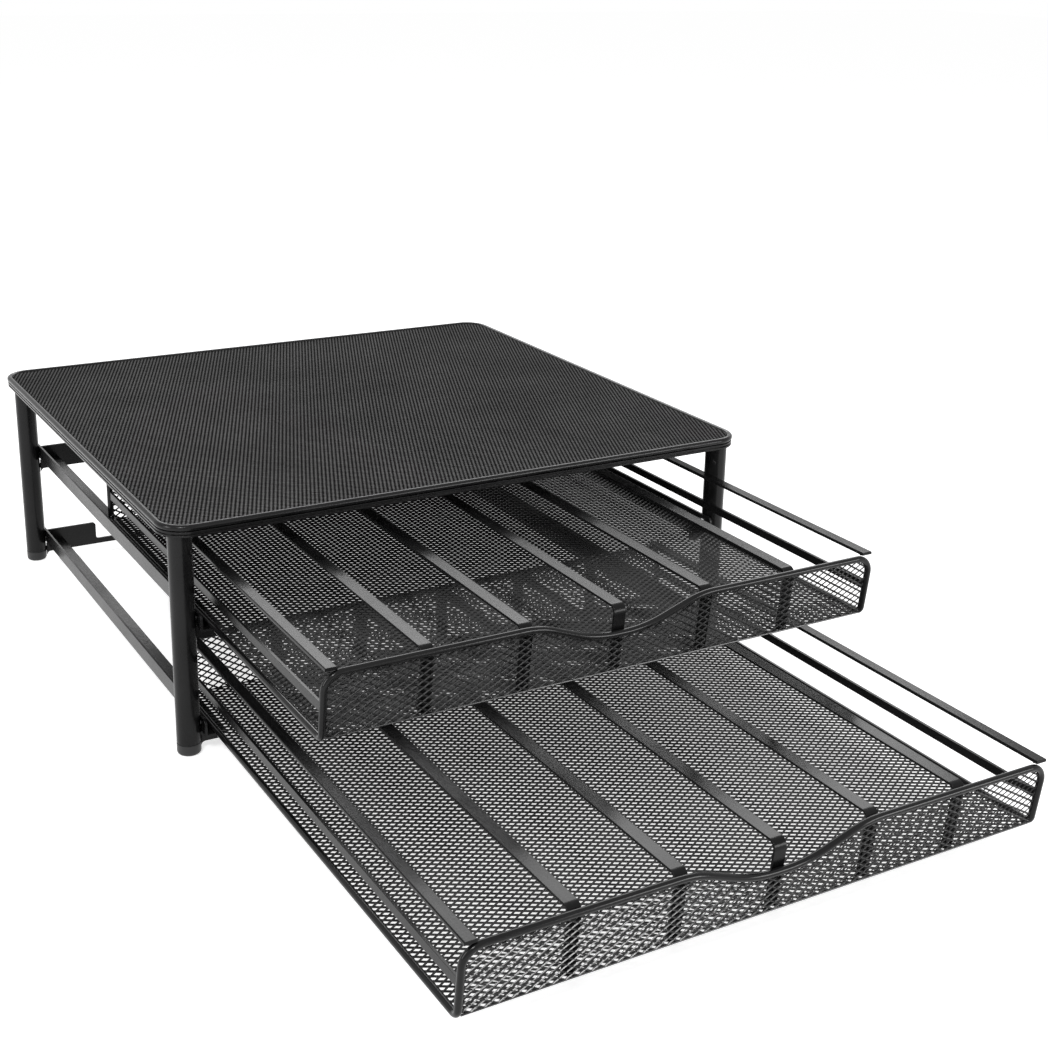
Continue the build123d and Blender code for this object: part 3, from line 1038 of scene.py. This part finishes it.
def cut_away(body: bmesh.types.BMesh, cutter: bmesh.types.BMesh) -> bpy.types.Mesh:
    """Cuts one closed shape out of another.

    Args:
        body: What is cut; it is freed here.
        cutter: What is taken out of it; it is freed here.

    Returns:
        The mesh that is left.
    """
    things = []
    for name, shape in (("cut_body", body), ("cut_tool", cutter)):
        mesh = bpy.data.meshes.new(name)
        shape.to_mesh(mesh)
        shape.free()
        thing = bpy.data.objects.new(name, mesh)
        bpy.context.scene.collection.objects.link(thing)
        things.append(thing)
    modifier = things[0].modifiers.new("recess", "BOOLEAN")
    modifier.operation = "DIFFERENCE"
    modifier.solver = "EXACT"
    modifier.use_self = True
    modifier.object = things[1]
    bpy.context.view_layer.update()
    graph = bpy.context.evaluated_depsgraph_get()
    result = bpy.data.meshes.new_from_object(things[0].evaluated_get(graph))
    for thing in things:
        mesh = thing.data
        bpy.data.objects.remove(thing)
        bpy.data.meshes.remove(mesh)
    return result


# ---------------------------------------------------------------- studio
@dataclass
class Studio:
    """White paper, soft lamps and the camera at the picture's angle."""

    paper_half: float = 7.0
    ambient: float = 0.36
    eye: Vector = field(default_factory=lambda: Vector((-406.9, -770.4, 414.5)) * MM)
    heading: float = 30.39
    dip: float = 18.0
    roll: float = 1.23
    focal_pixels: float = 1634.6
    rise_share: float = -0.06
    sensor: float = 36.0

    def build_paper(self) -> None:
        """The floor, its edge far outside the picture."""
        shape = bmesh.new()
        bmesh.ops.create_grid(shape, x_segments=4, y_segments=4, size=self.paper_half)
        mesh = bpy.data.meshes.new("paper")
        shape.to_mesh(mesh)
        shape.free()
        paper = bpy.data.objects.new("paper", mesh)
        bpy.context.scene.collection.objects.link(paper)
        mesh.materials.append(StudioPaper("studio_paper").material())

    def build_world(self) -> None:
        """Even light from all round, and white where it is seen or mirrored."""
        world = bpy.data.worlds.new("studio_room")
        world.use_nodes = True
        graph = Graph(world.node_tree)
        room = graph.node("ShaderNodeBackground", {}, {"Color": WHITE, "Strength": self.ambient})
        seen = graph.node("ShaderNodeBackground", {}, {"Color": WHITE, "Strength": 1.0})
        both = graph.node("ShaderNodeMixShader", {}, {"Fac": seen_or_mirrored(graph),
                                                      "Shader": room, "Shader_001": seen})
        graph.node("ShaderNodeOutputWorld", {}, {"Surface": both})
        bpy.context.scene.world = world

    def add_lamp(self, name: str, place: Vector, size: tuple[float, float], watts: float) -> None:
        """Adds a soft box that faces the middle of the object.

        Args:
            name: The lamp's name.
            place: Where it hangs, in metres.
            size: Its width and height.
            watts: Its power.
        """
        lamp = bpy.data.lights.new(name, "AREA")
        lamp.shape = "RECTANGLE"
        lamp.size, lamp.size_y = size
        lamp.energy = watts
        thing = bpy.data.objects.new(name, lamp)
        bpy.context.scene.collection.objects.link(thing)
        aim = (CAD_BOX[0] + CAD_BOX[1]) / 2
        thing.location = place
        thing.rotation_euler = (aim - place).to_track_quat("-Z", "Y").to_euler()

    def build_lamps(self) -> None:
        """A broad box behind, a key over the left shoulder, and low boxes at the front right and left."""
        self.add_lamp("back_box", Vector((0.9, 1.55, 1.35)), (1.8, 0.8), 22.0)
        self.add_lamp("key_box", Vector((-0.9, -1.1, 1.35)), (0.4, 0.3), 14.0)
        self.add_lamp("front_right_box", Vector((1.05, -1.7, 0.4)), (0.7, 0.6), 14.0)
        self.add_lamp("left_strip", Vector((-1.6, -0.1, 0.6)), (0.35, 0.8), 9.0)

    def build_camera(self) -> None:
        """The camera, from its heading right of straight back, its dip and its slight roll."""
        turn, dip, roll = (math.radians(v) for v in (self.heading, self.dip, self.roll))
        ahead = Vector((math.sin(turn) * math.cos(dip), math.cos(turn) * math.cos(dip), -math.sin(dip)))
        level = Vector((math.cos(turn), -math.sin(turn), 0.0))
        above = level.cross(ahead)
        right = level * math.cos(roll) + above * math.sin(roll)
        up = right.cross(ahead)
        data = bpy.data.cameras.new("camera")
        data.sensor_width = self.sensor
        data.lens = self.focal_pixels / PICTURE_SIDE * self.sensor
        data.shift_y = self.rise_share
        data.clip_start = 0.01
        data.clip_end = 60.0
        camera = bpy.data.objects.new("camera", data)
        bpy.context.scene.collection.objects.link(camera)
        facing = Matrix((right, up, -ahead)).transposed().to_4x4()
        camera.matrix_world = Matrix.Translation(self.eye) @ facing
        bpy.context.scene.camera = camera

    def build(self) -> None:
        """Sets the whole studio up."""
        self.build_paper()
        self.build_world()
        self.build_lamps()
        self.build_camera()
        bpy.context.scene.view_settings.view_transform = "Standard"


def main() -> None:
    """Dresses the CAD nodes, builds the pieces in order and reports each one."""
    logging.basicConfig(level=logging.INFO, format="%(name)s: %(message)s")
    wardrobe = Wardrobe()
    for name in sorted(FRAME["nodes"]):
        wardrobe.dress_node(name)
    for assembly in (Stand(wardrobe), *(Drawer(tier, wardrobe) for tier in Tier)):
        assembly.build()
        for piece in assembly.pieces:
            log.info("piece %s: %d faces", piece.name, len(piece.data.polygons))
    Studio().build()


if __name__ == "__main__":
    main()
